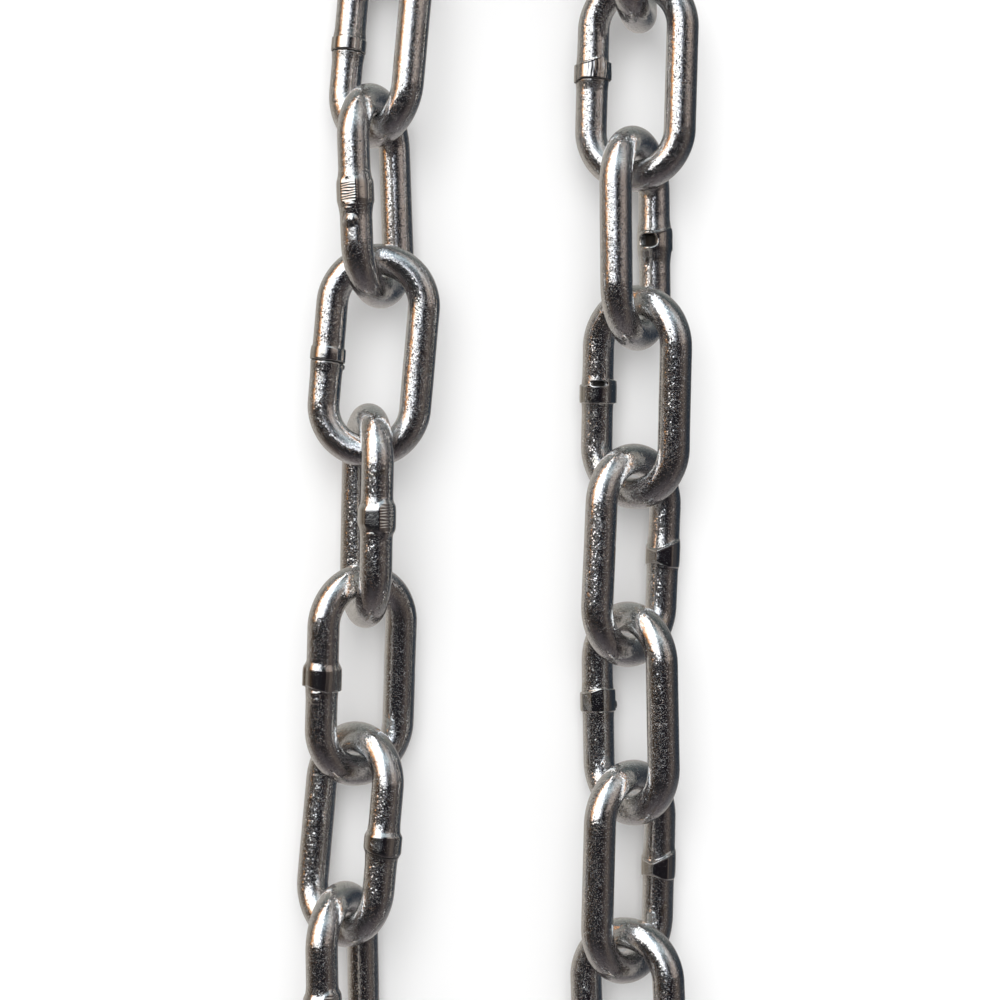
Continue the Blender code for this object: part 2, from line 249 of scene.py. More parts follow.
def noise(tree, vector, scale, detail=2.0, roughness=0.5, distortion=0.0):
    node = add_node(
        tree, "ShaderNodeTexNoise",
        {
            "Vector": vector, "Scale": scale, "Detail": detail, "Roughness": roughness,
            "Distortion": distortion,
        },
    )
    return node.outputs["Fac"]


def step_up(tree, value, low, high):
    """0 below low and 1 above high, for a socket."""
    node = add_node(
        tree, "ShaderNodeMapRange",
        {"Value": value, "From Min": low, "From Max": high},
        interpolation_type="SMOOTHSTEP",
    )
    return node.outputs["Result"]


def attribute(tree, name, output):
    return add_node(tree, "ShaderNodeAttribute", attribute_name=name).outputs[output]


def bump(tree, height, distance, below=None, strength=1.0):
    inputs = {"Height": height, "Distance": distance, "Strength": strength}
    if below is not None:
        inputs["Normal"] = below
    return add_node(tree, "ShaderNodeBump", inputs).outputs["Normal"]


def vector_maths(tree, operation, first, second=(0, 0, 0)):
    return add_node(tree, "ShaderNodeVectorMath", {0: first, 1: second}, operation=operation)


def facets(tree, place, grain):
    """Height of a crazed surface of flat crystals, each tilted its own way, in millimetres.

    place is in millimetres, and grain is how many crystals there are to the millimetre.
    Most crystals lie flat and a few lean far, because their lean is squared twice.
    """
    cells = add_node(tree, "ShaderNodeTexVoronoi", {"Vector": place, "Scale": grain})
    lean = vector_maths(tree, "SUBTRACT", cells.outputs["Color"], (0.5, 0.5, 0.5)).outputs[0]
    for _ in range(2):
        size = vector_maths(tree, "ABSOLUTE", lean).outputs[0]
        lean = vector_maths(tree, "MULTIPLY", size, lean).outputs[0]
    reach = vector_maths(tree, "SUBTRACT", place, cells.outputs["Position"]).outputs[0]
    return vector_maths(tree, "DOT_PRODUCT", lean, reach).outputs["Value"]


def plate_colour(tree, spot, colour, grain):
    """The plate with faint straw and blue tints, smudges, a heat tint at the weld, grain, small
    pits that darken it, and painted shade, near black, down in the weld's gaps."""
    drift = noise(tree, spot, 0.11, 2.0, 0.5, 0.6)
    warm = [part * tint for part, tint in zip(colour, (1.05, 1.0, 0.93))]
    cool = [part * tint for part, tint in zip(colour, (0.95, 1.0, 1.04))]
    plate = mix(tree, drift, warm, cool)
    smudge = step_up(tree, noise(tree, spot, 0.23, 3.0, 0.55, 1.2), 0.66, 0.76)
    plate = mix(tree, maths(tree, "MULTIPLY", smudge, 0.45), plate, (0.46, 0.36, 0.40))
    straw = step_up(tree, noise(tree, spot, 0.17, 2.0, 0.5, 2.0), 0.66, 0.74)
    plate = mix(tree, maths(tree, "MULTIPLY", straw, 0.30), plate, (0.62, 0.56, 0.38))
    heat = attribute(tree, "weld", "Fac")
    plate = mix(tree, maths(tree, "MULTIPLY", heat, 0.35), plate, (0.52, 0.50, 0.46))
    grains = step_up(tree, noise(tree, spot, grain * 1.2, 1.0, 0.5), 0.48, 0.66)
    unpressed = step_up(tree, attribute(tree, "pressed", "Fac"), 0.6, 0.0)
    grains = maths(tree, "MULTIPLY", maths(tree, "MULTIPLY", grains, unpressed), 0.45)
    plate = mix(tree, grains, plate, (0.26, 0.25, 0.25))
    specks = step_up(tree, noise(tree, spot, 1.5, 2.0, 0.6), 0.68, 0.74)
    plate = mix(tree, maths(tree, "MULTIPLY", specks, 0.4), plate, (0.16, 0.15, 0.145))
    # painted shade: the weld's groove and hole are painted near black for the shade down in them
    gap_shade = attribute(tree, "gap_shade", "Fac")
    return mix(tree, maths(tree, "MULTIPLY", gap_shade, 0.95), plate, (0.014, 0.012, 0.010))


def plate_gloss(tree, spot, roughness, dullness):
    """Roughness: low where the plate is clean, higher in patches, at the weld and in its gaps."""
    gloss = add_node(
        tree, "ShaderNodeMapRange",
        {
            "Value": noise(tree, spot, 0.35, 3.0, 0.6), "From Min": 0.3, "From Max": 0.7,
            "To Min": roughness * 0.75, "To Max": roughness * 1.25 + dullness,
        },
    ).outputs["Result"]
    for name, more in (("weld", 0.05), ("gap_shade", 0.4)):
        share = maths(tree, "MULTIPLY", attribute(tree, name, "Fac"), more)
        gloss = maths(tree, "ADD", gloss, share)
    return gloss


def plate_relief(tree, spot, grain, facet_tilt):
    """The normal over orange peel, drawn lines, crystals and a few scratches."""
    lines = noise(tree, attribute(tree, "streak", "Vector"), 1.0, 2.0, 0.5)
    relief = bump(tree, noise(tree, spot, 0.8, 1.0, 0.5), PEEL)
    relief = bump(tree, lines, DRAWN_LINES, relief)
    smoothed = maths(tree, "MULTIPLY", attribute(tree, "pressed", "Fac"), 0.75)
    untouched = maths(tree, "SUBTRACT", 1.0, smoothed)
    relief = bump(tree, facets(tree, spot, grain), facet_tilt * MM, relief, untouched)
    path = maths(tree, "SUBTRACT", noise(tree, spot, 0.45, 1.0, 0.5, 0.8), 0.5)
    scratch = step_up(tree, maths(tree, "ABSOLUTE", path), 0.0, 0.006)
    scratched = step_up(tree, noise(tree, spot, 0.3, 1.0, 0.5), 0.60, 0.66)
    return bump(tree, scratch, SCRATCHES, relief, scratched)


def zinc_plate(name, colour, roughness, grain, facet_tilt, dullness):
    """Bright, finely crystalline zinc plate over steel.

    grain is how many crystals there are to the millimetre, facet_tilt is how far they lean, and
    dullness is what the dull patches add to the roughness.
    """
    material = bpy.data.materials.new(name)
    material.use_nodes = True
    tree = material.node_tree
    shader = tree.nodes["Principled BSDF"]
    spot = attribute(tree, "spot", "Vector")
    tree.links.new(plate_colour(tree, spot, colour, grain), shader.inputs["Base Color"])
    tree.links.new(plate_gloss(tree, spot, roughness, dullness), shader.inputs["Roughness"])
    tree.links.new(plate_relief(tree, spot, grain, facet_tilt), shader.inputs["Normal"])
    shader.inputs["Metallic"].default_value = 1.0
    return material


# ---------------------------------------------------------------- links
# The relief of each weld, in millimetres. The wire's face angle runs from -180 to 180 degrees
# round the wire: 0 faces up, -90 faces left and 90 right, seen from above with the bight at the
# top. Positions along the leg are from the weld's middle, positive away from the bight.
#   shift        of the weld's middle along the leg
#   swell        height and half length of the smooth upset under the collar
#   top, bottom  the collar's two edges as (face angle, position) corners
#   rise         height of the collar over the upset
#   edges        lengths over which the collar's top and bottom edges rise
#   flutes       (height, face angle from, to) of the ridges that the trimming die leaves
#   lugs         heights of the square flash left at the collar's left and right
#   bars         (first, last, face angle from, to, spacing, height) of electrode marks
#   domes        (position, face angle, half length, half angle, height) of each blob of metal
#   hole         (position, face angle, half length, half angle, depth) of a gap in the weld
#   groove       depth of the parting line at the bottom edge
#   lip          (height, face angle from, to) of the flash along the top edge
#   flats        (face angle, half angle) of each flat that the die pressed
PLAIN_WELD = {
    "shift": 0.0, "swell": (0.25, 4.2), "top": ((-180, -2.6), (180, -2.6)),
    "bottom": ((-180, 2.6), (180, 2.6)), "rise": 0.20, "edges": (0.3, 0.3),
    "flutes": (0.0, -90, 90), "lugs": (0.0, 0.0), "bars": None, "domes": (), "hole": None,
    "groove": 0.0, "lip": None, "flats": (),
}
BAND_WELD = {
    "shift": 1.1, "swell": (0.24, 4.6), "rise": 0.15, "edges": (0.2, 0.25), "groove": 0.34,
    "top": ((-180, -1.7), (-30, -1.7), (60, -1.4), (180, -1.7)),
    "bottom": ((-180, 1.7), (-60, 1.6), (80, 1.8), (180, 1.7)),
    "lugs": (0.12, 0.0), "flats": ((-62, 16),), "domes": ((2.2, 50, 0.6, 12, 0.25),),
}
LADDER_WELD = {
    "shift": 0.4, "swell": (0.46, 6.0), "rise": 0.04, "edges": (1.2, 1.2), "lugs": (0.10, 0.15),
    "bars": (-1.9, 2.2, -50, 4, 0.66, 0.16), "flats": ((-22, 28),),
    "domes": ((3.3, -12, 0.5, 18, 0.22), (4.2, -28, 0.6, 18, 0.24), (6.8, -20, 1.2, 26, 0.44)),
}
PARTED_WELD = {
    "shift": 1.8, "swell": (0.15, 4.0), "rise": 0.14, "edges": (0.5, 0.2), "groove": 0.50,
    "top": ((-180, -2.8), (-20, -2.8), (40, -2.4), (180, -2.8)),
    "bottom": ((-180, 0.6), (-70, 0.3), (-20, 0.45), (30, 0.5), (90, 0.9), (180, 0.6)),
    "lugs": (0.12, 0.16), "flats": ((58, 24),), "domes": ((1.7, 84, 0.8, 18, 0.4),),
}
SHOULDER_LADDER_WELD = {
    "shift": 0.5, "swell": (0.32, 5.4), "rise": 0.42, "edges": (1.7, 1.8),
    "top": ((-180, -2.0), (-60, -1.9), (0, -1.9), (30, -3.4), (180, -2.0)),
    "bottom": ((-180, 1.6), (-40, 2.2), (40, 4.4), (180, 1.6)),
    "bars": (-3.2, 2.6, 16, 62, 0.74, 0.13), "flats": ((-12, 24),),
    "domes": ((4.4, 38, 1.2, 16, 0.18), (4.2, -16, 0.7, 22, 0.14)),
}
LUGGED_WELD = {
    "shift": 0.6, "swell": (0.16, 5.0), "rise": 0.36, "edges": (2.2, 0.35),
    "flutes": (0.05, -20, 70),
    "top": ((-180, -2.8), (-50, -2.9), (0, -2.6), (20, -2.4), (60, -2.6), (180, -2.8)),
    "bottom": ((-180, 2.6), (-50, 1.1), (-10, 1.8), (20, 2.4), (180, 2.6)), "lugs": (0.42, 0.36),
    "domes": ((3.1, -28, 0.9, 18, 0.26), (4.6, -20, 0.9, 20, 0.24), (2.6, -2, 0.5, 12, 0.18)),
}
SHOULDER_WELD = {
    "shift": 1.1, "swell": (0.24, 5.4), "rise": 0.42, "edges": (1.5, 1.8), "groove": 0.05,
    "top": ((-180, -1.8), (180, -1.8)),
    "bottom": ((-180, 2.2), (-70, 1.6), (-30, 2.3), (20, 3.0), (180, 2.2)),
    "flutes": (0.03, 20, 80), "lugs": (0.05, 0.12),
}
FLUTED_WELD = {
    "shift": -1.7, "swell": (0.20, 4.6), "rise": 0.24, "edges": (0.4, 0.25),
    "flutes": (0.15, -24, 86), "groove": 0.04,
    "top": ((-180, -2.2), (-70, -1.8), (-20, -2.4), (30, -3.8), (60, -2.6), (180, -2.2)),
    "bottom": ((-180, 2.2), (-70, 2.5), (-40, 1.6), (180, 1.8)),
    "lugs": (0.22, 0.26), "lip": (0.12, -50, 30),
}
NOTCHED_WELD = {
    "shift": -0.4, "swell": (0.42, 6.2), "rise": 0.04, "edges": (0.8, 0.8), "lugs": (0.0, 0.15),
    "hole": (0.1, -27, 1.55, 30, 1.5), "flutes": (0.03, 20, 90), "lip": (0.24, -60, 62),
    "top": ((-180, -1.6), (-50, -1.5), (0, -1.6), (60, -3.0), (180, -1.6)),
    "domes": ((2.2, -30, 0.5, 24, 0.22), (-1.9, -28, 0.5, 26, 0.30)),
}
CRESCENT_WELD = {
    "shift": -0.9, "swell": (0.20, 4.6), "rise": 0.24, "edges": (0.35, 0.3),
    "flutes": (0.03, 20, 90),
    "top": ((-180, -2.6), (-50, -1.4), (-10, -2.6), (40, -3.2), (180, -2.6)),
    "bottom": ((-180, 2.6), (180, 2.6)), "lugs": (0.20, 0.34),
    "hole": (-2.3, 2, 0.7, 26, 0.8), "lip": (0.10, -46, 20), "flats": ((72, 18),),
}
CHEVRON_WELD = {
    "shift": -0.7, "swell": (0.20, 5.2), "rise": 0.36, "edges": (0.8, 0.5),
    "top": ((-180, -2.4), (-80, -1.7), (-22, -0.6), (44, -3.2), (90, -3.4), (180, -2.4)),
    "bottom": ((-180, 2.6), (-80, 2.8), (-22, 2.2), (14, 3.3), (60, 3.4), (180, 2.6)),
    "lugs": (-0.08, -0.22), "lip": (0.30, -66, 50), "flats": ((-50, 27), (4, 25)),
}
WAVY_WELD = {
    "shift": -2.6, "swell": (0.18, 4.8), "rise": 0.26, "edges": (0.35, 0.5),
    "flutes": (0.05, 20, 80),
    "top": ((-180, -2.4), (-60, -1.8), (-28, -2.3), (12, -3.2), (25, -2.9), (180, -2.4)),
    "bottom": ((-180, 2.6), (180, 2.6)), "lugs": (0.14, 0.08), "lip": (0.16, -72, 26),
    "flats": ((-44, 22), (-2, 20)), "domes": ((1.0, 82, 1.0, 16, 0.36),),
}
WELDS = {
    "bight_link": LUGGED_WELD,
    "left_link_0": WAVY_WELD,
    "left_link_1": BAND_WELD,
    "left_link_2": LADDER_WELD,
    "left_link_3": PARTED_WELD,
    "left_link_4": SHOULDER_LADDER_WELD,
    "left_link_5": LUGGED_WELD,
    "left_link_6": SHOULDER_WELD,
    "left_link_7": SHOULDER_LADDER_WELD,
    "left_link_8": FLUTED_WELD,
    "left_link_9": BAND_WELD,
    "right_link_0": CHEVRON_WELD,
    "right_link_1": FLUTED_WELD,
    "right_link_2": NOTCHED_WELD,
    "right_link_3": CRESCENT_WELD,
    "right_link_4": CHEVRON_WELD,
    "right_link_5": WAVY_WELD,
    "right_link_6": CHEVRON_WELD,
    "right_link_7": PARTED_WELD,
    "right_link_8": SHOULDER_WELD,
}


def patch(position, facing, spot, softness):
    """1 inside a rounded rectangle on the wire and 0 outside, for (position, angle, halves)."""
    place, angle, half_length, half_angle = spot
    along = np.abs(position - place) / half_length
    across = np.abs(facing - angle) / half_angle
    return 1 - smoothstep(1 - softness, 1 + softness, (along ** 3 + across ** 3) ** (1 / 3))


def collar_height(along, facing, weld):
    """Height of the collar over the swell: its rise with its flutes, flats and side flash."""
    flute, low, high = weld["flutes"]
    drawn = np.sin(np.radians(facing) * 31 + np.sin(along)) * window(low, high, facing, 12)
    collar = weld["rise"] + flute * drawn
    for centre, half in weld["flats"]:
        turned = np.radians(np.clip(facing - centre, -half, half))
        on_flat = 1 - smoothstep(half * 0.9, half * 1.1, np.abs(facing - centre))
        sunk = np.cos(np.radians(half * 0.7)) / np.cos(turned) - 1
        collar = collar + on_flat * (WIRE / MM / 2 + weld["rise"]) * sunk
    for side, lug in zip((-90, 90), weld["lugs"]):
        collar = collar + lug * (1 - smoothstep(20, 30, np.abs(facing - side)))
    return collar


def raised_marks(along, facing, top, weld):
    """What the blobs of metal and the lip add, and what the electrode marks take away."""
    relief = np.zeros_like(along)
    for place, angle, half_length, half_angle, dome in weld["domes"]:
        away = np.hypot((along - place) / half_length, (facing - angle) / half_angle)
        relief = relief + dome * np.sqrt(np.clip(1 - away ** 2, 0, 1))
    if weld["bars"]:
        first, last, low, high, spacing, bar = weld["bars"]
        marked = window(first, last, along, 0.4) * window(low, high, facing, 8)
        wander = 0.10 * np.sin(facing / 9 + 2 * along) + 0.004 * facing
        cut = (0.5 + 0.5 * np.cos(tau * (along + wander) / spacing)) ** 2.5
        relief = relief - marked * bar * cut
    if weld["lip"]:
        lip, low, high = weld["lip"]
        ridge = np.exp(-(((along - top) / 0.2) ** 2))
        relief = relief + lip * ridge * window(low, high, facing, 14)
    return relief


def weld_relief(position, facing, weld):
    """The weld's (relief, pressed, gap shade) at places along and round the wire.

    The relief is its height over the round wire in millimetres. Pressed is 1 where the die has
    smoothed the metal, and the gap shade is 1 down in the weld's gaps, where shade is painted near black.
    """
    height, reach = weld["swell"]
    along = position - weld["shift"]
    relief = height * (1 - smoothstep(0.25 * reach, reach, np.abs(along)))
    top = np.interp(facing, *zip(*weld["top"]))
    bottom = np.interp(facing, *zip(*weld["bottom"]))
    upper, lower = weld["edges"]
    inside = smoothstep(-upper, 0, along - top)
    inside = inside * (1 - smoothstep(-lower / 2, lower / 2, along - bottom))
    relief = relief + inside * collar_height(along, facing, weld)
    relief = relief + raised_marks(along, facing, top, weld)
    # painted shade: this mask is 1 in the weld's groove and hole, which are painted near black
    gap_shade = np.zeros_like(relief)
    if weld["groove"]:
        jag = 0.08 * np.sin(facing / 4.1) + 0.05 * np.sin(facing / 1.7)
        line = np.exp(-(((along - bottom - jag) / 0.19) ** 2))
        relief = relief - weld["groove"] * line
        gap_shade = np.maximum(gap_shade, line)
    if weld["hole"]:
        *spot, depth = weld["hole"]
        gap = patch(along, facing, spot, 0.12)
        relief = relief - depth * gap
        gap_shade = np.maximum(gap_shade, gap)
    return relief, inside, gap_shade


def centre_line():
    """Rings along a link's closed centre line, from the middle of its plain leg.

    Returns each ring's distance along the wire from the weld's middle, its place in the link's
    plane, and the direction in that plane that points out of the link. The weld is on +Y.
    """
    distances = [-WIRE_LENGTH / 2]
    while distances[-1] < WIRE_LENGTH / 2 - FINE_STEP:
        away = max(0.0, abs(distances[-1]) - FINE_REACH)
        distances.append(distances[-1] + min(COARSE_STEP, FINE_STEP + 0.25 * away))
    distances = np.array(distances[:-1])
    quarter = HALF_LEG + pi * BOW_RADIUS
    places, outwards = [], []
    for distance in distances:
        side = 1 if distance > 0 else -1
        reach = abs(distance)
        if reach <= HALF_LEG:
            places.append((side * reach, BOW_RADIUS))
            outwards.append((0, 1))
        elif reach < quarter:
            angle = pi / 2 - (reach - HALF_LEG) / BOW_RADIUS
            outwards.append((side * cos(angle), sin(angle)))
            places.append((side * (HALF_LEG + BOW_RADIUS * cos(angle)), BOW_RADIUS * sin(angle)))
        else:
            places.append((side * (HALF_LEG - (reach - quarter)), -BOW_RADIUS))
            outwards.append((0, -1))
    return distances, np.array(places), np.array(outwards)


def link_place(node):
    """A link's (matrix, side of its weld). Its X runs down the strand and its Z faces up.

    A link is symmetric but for its weld's collar, so its axes are its points' principal ones,
    and the collar is on the side to which the points' middle leans.
    """
    points = np.unique(np.round(vertex_array(frame["nodes"][node].data), 6), axis=0)
    middle = points.mean(axis=0)
    _, directions = np.linalg.eigh(np.cov((points - middle).T))
    normal, lateral, along = (Vector(directions[:, i]) for i in range(3))
    if along.y > 0:
        along.negate()
    if normal.z < 0:
        normal.negate()
    lateral = normal.cross(along).normalized()
    local = (points - middle) @ np.array([along, lateral, normal]).T
    bows = local[np.abs(local[:, 0]) > HALF_LEG]
    offset = (bows[:, 1].max() + bows[:, 1].min()) / 2
    centre = Vector(middle) + lateral * offset
    return frame_matrix(centre, (along, lateral, normal)), -1 if offset > 0 else 1


def link_mesh(name, weld_side, facing_up, weld, seed):
    """One link in its own frame, its weld on the +Y or -Y leg.

    facing_up is the angle round the welded leg, from outward, at which its surface faces up.
    """
    distances, places, outwards = centre_line()
    places = places * (1, weld_side)
    outwards = outwards * (1, weld_side)
    angles = np.arange(WIRE_SIDES) * tau / WIRE_SIDES
    along, round_wire = np.meshgrid(distances, angles, indexing="ij")
    facing = -weld_side * np.degrees(round_wire - facing_up)
    facing = (facing + 180) % 360 - 180

    turn = along * tau / WIRE_LENGTH
    radius = WIRE / 2 + uneven(turn * 2, round_wire, seed, WIRE_UNEVENNESS)
    relief, pressed, gap_shade = weld_relief(along / MM, facing, weld)
    radius = radius + relief * MM
    bow_end = HALF_LEG + pi * BOW_RADIUS
    in_bow = smoothstep(HALF_LEG, HALF_LEG + 6 * MM, np.abs(along)) * (
        1 - smoothstep(bow_end - 6 * MM, bow_end, np.abs(along))
    )
    radius = radius - in_bow * BOW_FLAT * np.clip(np.cos(round_wire), 0, 1) ** 2

    outward = np.column_stack([outwards, np.zeros(len(outwards))])[:, None, :]
    centre = np.column_stack([places, np.zeros(len(places))])[:, None, :]
    upward = np.array([0.0, 0.0, 1.0])
    rings = centre + radius[..., None] * (
        np.cos(round_wire)[..., None] * outward + np.sin(round_wire)[..., None] * upward
    )
    mesh = grid_mesh(name, rings, closed=True)
    store(mesh, "spot", rings.reshape(-1, 3) / MM + seed * SEED_SPACING)
    streak = np.stack(
        [
            np.abs(along) / MM * 0.035 + seed * 5.0,
            np.cos(round_wire) * 6.0,
            np.sin(round_wire) * 6.0,
        ],
        axis=-1,
    )
    store(mesh, "streak", streak.reshape(-1, 3))
    heat = 1 - smoothstep(2.0 * MM, 6.0 * MM, np.abs(along - weld["shift"] * MM))
    store(mesh, "weld", heat.ravel())
    store(mesh, "pressed", pressed.ravel())
    # the mask where shade is painted near black in the weld's gaps
    store(mesh, "gap_shade", gap_shade.ravel())
    return mesh


def add_link(node, seed, material):
    place, weld_side = link_place(node)
    lateral, normal = place.to_3x3().col[1], place.to_3x3().col[2]
    facing_up = float(np.arctan2(normal.z, weld_side * lateral.z))
    weld = {**PLAIN_WELD, **WELDS[node]}
    mesh = link_mesh(node + "_wire", weld_side, facing_up, weld, seed)
    add_piece(node + "_wire", mesh, place, node, node, material)


# ---------------------------------------------------------------- hooks, pins and cotters
def joint(name):
    return next(found for found in frame["joints"] if found["name"] == name)


def mount(name):
    return next(found for found in frame["record"]["mounts"] if found["name"] == name)


def hook_place(side):
    """The hook's frame: X along its pin, Y along the load to the bowl, Z square to its side."""
    pin = joint(side + "_pin_turn")
    across = Vector(pin["axis"]).normalized()
    upward = Vector(mount(side + "_hook_cheek")["axis"])
    load = upward.cross(across).normalized()
    return frame_matrix(Vector(pin["pos_m"]), (across, load, across.cross(load)))


def remeshed(node, place):
    """The node's shape in the place's frame, as an even and slightly softened fine mesh."""
    mesh = frame["nodes"][node].data.copy()
    mesh.transform(place.inverted())
    shape = bmesh.new()
    shape.from_mesh(mesh)
    bmesh.ops.remove_doubles(shape, verts=shape.verts, dist=0.001 * MM)
    shape.to_mesh(mesh)
    shape.free()
    guide = bpy.data.objects.new("forging_guide", mesh)
    bpy.context.scene.collection.objects.link(guide)
    even = guide.modifiers.new("even", "REMESH")
    even.mode = "VOXEL"
    even.voxel_size = FORGING_VOXEL
    soften = guide.modifiers.new("soften", "SMOOTH")
    soften.factor = 0.5
    soften.iterations = 5
    graph = bpy.context.evaluated_depsgraph_get()
    fine = bpy.data.meshes.new_from_object(guide.evaluated_get(graph))
    bpy.data.objects.remove(guide)
    bpy.data.meshes.remove(mesh)
    return fine


def claw_groove(points):
    """How deep into the forged groove of the claw's sides each point lies, from 0 to 1."""
    middle = (BOWL_RADIUS + THROAT / 2) / 2
    spine = [(-6.5 * MM, 27 * MM), (-9.5 * MM, 40 * MM)]
    for step in range(13):
        angle = radians(195 - 140 * step / 12)
        spine.append((middle * cos(angle), BOWL_DEPTH + middle * sin(angle)))
    nearest = np.full(len(points), 1.0)
    for first, last in zip(spine, spine[1:]):
        first, run = np.array(first), np.array(last) - np.array(first)
        share = np.clip((points[:, :2] - first) @ run / (run @ run), 0, 1)
        gap = np.linalg.norm(points[:, :2] - first - share[:, None] * run, axis=1)
        nearest = np.minimum(nearest, gap)
    return 1 - smoothstep(2.6 * MM, 4.0 * MM, nearest)


def add_hook(side, seed, material):
    """A drop-forged clevis grab hook, with its parting line and a groove in each side."""
    place = hook_place(side)
    node = side + "_grab_hook"
    mesh = remeshed(node, place)
    points, normals = vertex_array(mesh), vertex_array(mesh, "normal")
    wall = 1 - smoothstep(0.35, 0.75, np.abs(normals[:, 2]))
    beyond_clevis = smoothstep(17 * MM, 24 * MM, points[:, 1])
    wander = 0.25 * MM * np.sin(points[:, 1] / (6 * MM) + seed)
    parting = np.exp(-(((points[:, 2] - wander) / (0.55 * MM)) ** 2)) * wall * beyond_clevis
    cheek = smoothstep(0.6, 0.9, np.abs(normals[:, 2])) * smoothstep(
        HOOK_THICKNESS * 0.4, HOOK_THICKNESS * 0.45, np.abs(points[:, 2])
    )
    skin = uneven(points[:, 0] * 420, points[:, 1] * 300, seed, FORGING_UNEVENNESS)
    lift = PARTING_LINE * parting - CLAW_GROOVE * claw_groove(points) * cheek + skin
    points = points + normals * lift[:, None]
    mesh.vertices.foreach_set("co", points.astype(np.float32).ravel())
    mesh.update()
    store(mesh, "spot", points / MM + seed * SEED_SPACING)
    store(mesh, "streak", points / MM * 0.5)
    store(mesh, "weld", parting * 0.8)
    add_piece(node + "_forging", mesh, place, side + "_hook", node, material)


def turned_mesh(name, profile, sides):
    """A solid turned about X from its half section, a list of (x, radius)."""
    angles = np.arange(sides) * tau / sides
    section = np.array(profile)
    rings = np.stack(
        [
            np.repeat(section[:, :1], sides, axis=1),
            section[:, 1:] * np.cos(angles),
            section[:, 1:] * np.sin(angles),
        ],
        axis=-1,
    )
    return grid_mesh(name, rings, closed=False)


def rounded_corner(corner, radius, start, end, steps=6):
    """Points of a quarter round of the half section, between two angles in degrees."""
    angles = [radians(start + (end - start) * step / steps) for step in range(steps + 1)]
    return [(corner[0] + radius * cos(a), corner[1] + radius * sin(a)) for a in angles]


def pin_profile():
    """The clevis pin's half section from its domed head to its chamfered tail."""
    seat = -CLEVIS_WIDTH / 2 - CLEARANCE
    face = seat - PIN_HEAD_THICKNESS
    head, shank = PIN_HEAD_DIAMETER / 2, PIN_DIAMETER / 2
    tail = CLEVIS_WIDTH / 2 + PIN_TAIL
    fillet, chamfer = 0.8 * MM, 0.9 * MM
    profile = [(face - 0.25 * MM, 0.4 * MM), (face - 0.2 * MM, head * 0.45), (face, head - fillet)]
    profile += rounded_corner((face + fillet, head - fillet), fillet, 170, 95)
    profile += rounded_corner((seat - 0.4 * MM, head - 0.4 * MM), 0.4 * MM, 85, 5)
    profile += [(seat, shank + 0.6 * MM), (seat + 0.25 * MM, shank), (seat + 0.5 * MM, shank)]
    turns = 46
    for step in range(turns + 1):
        place = seat + 0.8 * MM + (tail - chamfer - seat - 1.0 * MM) * step / turns
        profile.append((place, shank - (0.03 * MM if step % 2 else 0.0)))
    profile += [(tail - chamfer, shank), (tail - 0.1 * MM, shank - chamfer)]
    profile += [(tail, shank - chamfer - 0.2 * MM), (tail, 0.4 * MM)]
    return profile


def cotter_place():
    return CLEVIS_WIDTH / 2 + CLEARANCE + 1.2 * MM + COTTER_HOLE / 2


def drilled(mesh, place):
    """The mesh with the cotter's hole through it along Z, at that distance along X."""
    radius = COTTER_HOLE / 2
    drill = turned_mesh("drill", [(-8 * MM, radius), (8 * MM, radius)], 32)
    drill.transform(Matrix.Translation((place, 0, 0)) @ Matrix.Rotation(pi / 2, 4, "Y"))
    cutter = bpy.data.objects.new("drill", drill)
    stock = bpy.data.objects.new("stock", mesh)
    for helper in (cutter, stock):
        bpy.context.scene.collection.objects.link(helper)
    cut = stock.modifiers.new("cut", "BOOLEAN")
    cut.object = cutter
    cut.operation = "DIFFERENCE"
    graph = bpy.context.evaluated_depsgraph_get()
    result = bpy.data.meshes.new_from_object(stock.evaluated_get(graph))
    for helper in (cutter, stock):
        bpy.data.objects.remove(helper)
    return result


def add_pin(side, seed, material):
    place = hook_place(side)
    mesh = drilled(turned_mesh("pin", pin_profile(), 72), cotter_place())
    points = vertex_array(mesh)
    store(mesh, "spot", points / MM + seed * SEED_SPACING)
    store(mesh, "streak", points / MM * (3.0, 0.2, 0.2))
    store(mesh, "weld", np.zeros(len(points)))
    node = side + "_clevis_pin"
    piece = add_piece(node + "_turned", mesh, place, side + "_pin", node, material)
    piece.data.set_sharp_from_angle(angle=radians(30))


def cotter_path():
    """The cotter's flat inner side, as points (y, z), from one leg's end to the other's."""
    half, eye_radius = 0.08 * MM, 1.55 * MM
    bend = PIN_DIAMETER / 2 + 0.6 * MM
    eye_height = bend + eye_radius + 1.2 * MM
    path = []
    for side, reach, spread in ((1, 5.2 * MM, radians(40)), (-1, 4.4 * MM, radians(33))):
        leg = [
            (side * (half + share * reach * sin(spread * min(1, share * 3))),
             -bend - share * reach * cos(spread))
            for share in (1.0, 0.8, 0.6, 0.4, 0.2, 0.1, 0.0)
        ]
        leg += [(side * half, -bend + (2 * bend) * step / 10) for step in range(1, 11)]
        path.append(leg)
    gap = asin(half / eye_radius) + radians(14)
    eye = []
    for step in range(33):
        angle = -pi / 2 + gap + (tau - 2 * gap) * step / 32
        eye.append((eye_radius * cos(angle), eye_height + eye_radius * sin(angle)))
    return np.array(path[0] + eye + path[1][::-1])


